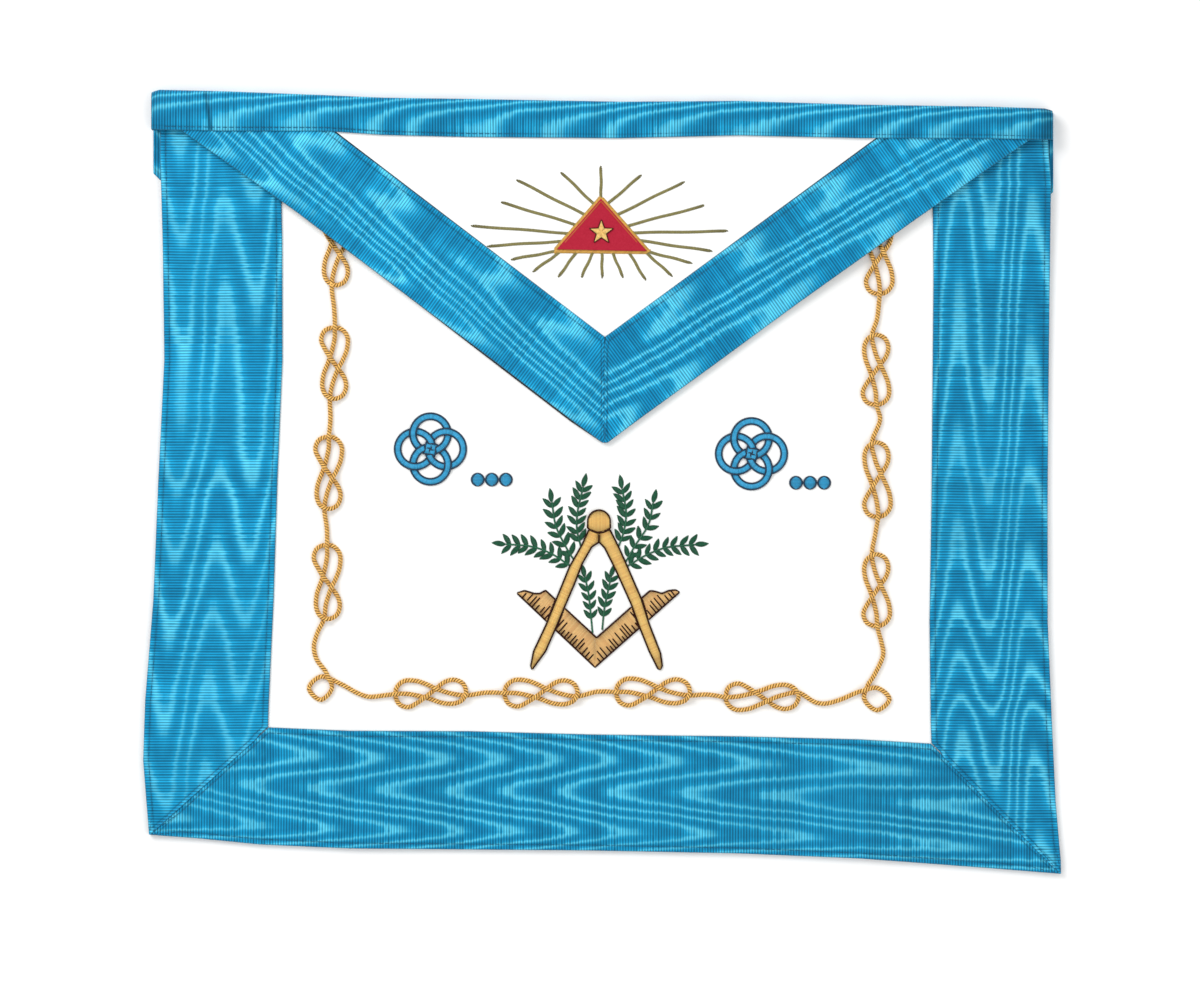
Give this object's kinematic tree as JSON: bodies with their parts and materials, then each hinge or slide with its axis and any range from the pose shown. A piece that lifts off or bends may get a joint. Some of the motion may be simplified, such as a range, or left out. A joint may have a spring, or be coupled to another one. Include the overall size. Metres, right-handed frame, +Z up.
{
  "type": "masonic apron",
  "caption": "Flat white lodge apron edged with moire ribbon, with a ribbon-edged pointed flap, a waistband and belt, a knotted gold cord, and square-and-compasses embroidery with leaf sprigs.",
  "frame": {"origin": "middle of the apron's outline, on the flat surface that it lies on", "axes": "+Z up out of the embroidered front, +X across the apron to its right as seen from the front, +Y up the apron towards the waistband"},
  "size_m": [0.4171, 0.3561, 0.0098],
  "materials": {
    "ribbon": "moire grosgrain",
    "leather": "smooth white leatherette",
    "lining": "plain black weave",
    "clasp": "polished",
    "cord": "twisted gold thread",
    "gold": "gold satin stitch",
    "rays": "old gold satin stitch",
    "felt": "red felt",
    "leaf": "green satin stitch",
    "blue": "sky blue satin stitch"
  },
  "bodies": {
    "root": {"belt_tail_left": "ribbon", "belt_tail_right": "ribbon", "belt_clasp": "clasp", "apron_panel": "leather", "side_ribbon_left": "ribbon", "side_ribbon_right": "ribbon", "bottom_ribbon": "ribbon", "waistband": "ribbon", "flap_lining": "lining", "flap_ribbon_left": "ribbon", "flap_ribbon_right": "ribbon", "flap_panel": "leather", "knotted_cord": "cord", "compasses": "gold", "square_corner": "gold", "square_end_left": "gold", "square_end_right": "gold", "sprig_left_low": "leaf", "sprig_left_middle": "leaf", "sprig_left_high": "leaf", "sprig_right_high": "leaf", "sprig_right_middle": "leaf", "sprig_right_low": "leaf", "sprig_inner_left": "leaf", "sprig_inner_right": "leaf", "quatrefoil_left": "blue", "dot_left_1": "blue", "dot_left_2": "blue", "dot_left_3": "blue", "quatrefoil_right": "blue", "dot_right_1": "blue", "dot_right_2": "blue", "dot_right_3": "blue", "delta_felt": "felt", "delta_frame": "rays", "delta_star": "gold"}
  },
  "joints": []
}
